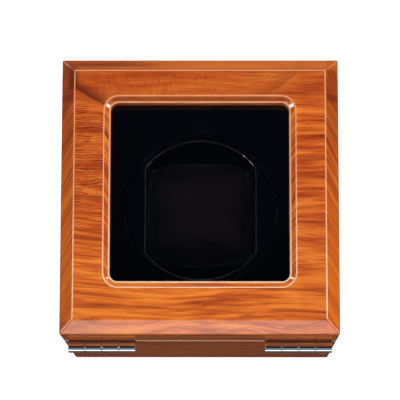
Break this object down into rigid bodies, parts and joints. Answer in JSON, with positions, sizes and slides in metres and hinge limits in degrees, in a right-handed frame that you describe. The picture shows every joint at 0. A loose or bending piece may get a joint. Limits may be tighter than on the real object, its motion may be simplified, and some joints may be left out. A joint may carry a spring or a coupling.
{
  "type": "watch winder",
  "caption": "Square wooden watch winder box with a hinged window lid and a motor-driven cup that turns a cushion for a wristwatch.",
  "frame": {"origin": "middle of the felt under the base", "axes": "+Z out of the lid, +Y towards the front edge with the magnets, hinges on the -Y side, +X to the right seen from the hinge side"},
  "size_m": [0.135, 0.1409, 0.1263],
  "materials": {
    "gloss_wood": "high-gloss lacquer over figured veneer",
    "window_glass": "clear",
    "black_lacquer": "gloss",
    "black_velvet": "velvet",
    "base_felt": "felt",
    "plywood": "raw",
    "cushion_leather": "soft velvet",
    "drum_black": "piano gloss",
    "white_nylon": "satin",
    "bronze": "sintered",
    "steel": "zinc plated",
    "aluminium": "turned",
    "control_black": "satin",
    "board_green": "solder mask",
    "lead_rubber": "matt",
    "magnet": "nickel plated",
    "hinge_chrome": "polished"
  },
  "bodies": {
    "case": {"case_wall_hinge": "gloss_wood", "case_wall_front": "gloss_wood", "case_wall_left": "gloss_wood", "case_wall_right": "gloss_wood", "case_lining": "black_velvet", "fascia_board": "black_velvet", "base_felt": "base_felt", "bottom_panel": "plywood", "fascia_cleats": "plywood", "thrust_washer": "white_nylon", "spindle": "steel", "spindle_clip": "steel", "mounting_plate": "steel", "plate_screws": "steel", "motor_bracket": "steel", "bracket_screws": "steel", "gear_motor": "steel", "motor_screws": "steel", "board_screws": "steel", "control_plate_screws": "steel", "plate_standoffs": "aluminium", "bracket_spacers": "aluminium", "control_plate": "control_black", "direction_switch": "control_black", "turns_switch": "control_black", "power_jack": "control_black", "controller_chip": "control_black", "circuit_board": "board_green", "motor_lead": "lead_rubber", "case_magnets": "magnet", "left_hinge_case_leaf": "hinge_chrome", "left_hinge_pin": "hinge_chrome", "right_hinge_case_leaf": "hinge_chrome", "right_hinge_pin": "hinge_chrome", "case_hinge_screws": "hinge_chrome"},
    "lid": {"lid_rail_hinge": "gloss_wood", "lid_rail_front": "gloss_wood", "lid_rail_left": "gloss_wood", "lid_rail_right": "gloss_wood", "lid_top_panel": "gloss_wood", "window_pane": "window_glass", "pane_retainer": "black_lacquer", "lid_lining": "black_velvet", "lid_magnets": "magnet", "left_hinge_lid_leaf": "hinge_chrome", "right_hinge_lid_leaf": "hinge_chrome", "lid_hinge_screws": "hinge_chrome"},
    "drum": {"drum_cup": "drum_black", "drum_gear": "white_nylon", "drum_screws": "steel", "lower_bush": "bronze", "upper_bush": "bronze", "watch_cushion": "cushion_leather"},
    "pinion": {"drive_pinion": "white_nylon", "motor_shaft": "steel"},
    "direction_knob": {"direction_knob": "control_black"},
    "turns_knob": {"turns_knob": "control_black"}
  },
  "joints": [
    {"name": "lid_hinge", "type": "hinge", "parent": "case", "child": "lid", "pos_m": [0, -0.07055, 0.08965], "axis": [1, 0, 0], "range_deg": [0, 95]},
    {"name": "drum_spin", "type": "hinge", "parent": "case", "child": "drum", "pos_m": [0, 0, 0.03], "axis": [0, 0, 1], "continuous": true},
    {"name": "pinion_spin", "type": "hinge", "parent": "case", "child": "pinion", "pos_m": [0.03613, 0.03613, 0.03], "axis": [0, 0, 1], "continuous": true},
    {"name": "direction_select", "type": "hinge", "parent": "case", "child": "direction_knob", "pos_m": [-0.02, 0.038, 0.005], "axis": [0, 0, 1], "range_deg": [-45, 45]},
    {"name": "turns_select", "type": "hinge", "parent": "case", "child": "turns_knob", "pos_m": [0, 0.038, 0.005], "axis": [0, 0, 1], "range_deg": [0, 135]}
  ],
  "couplings": [
    {"joint": "pinion_spin", "follows": "drum_spin", "ratio": -4.6667}
  ]
}
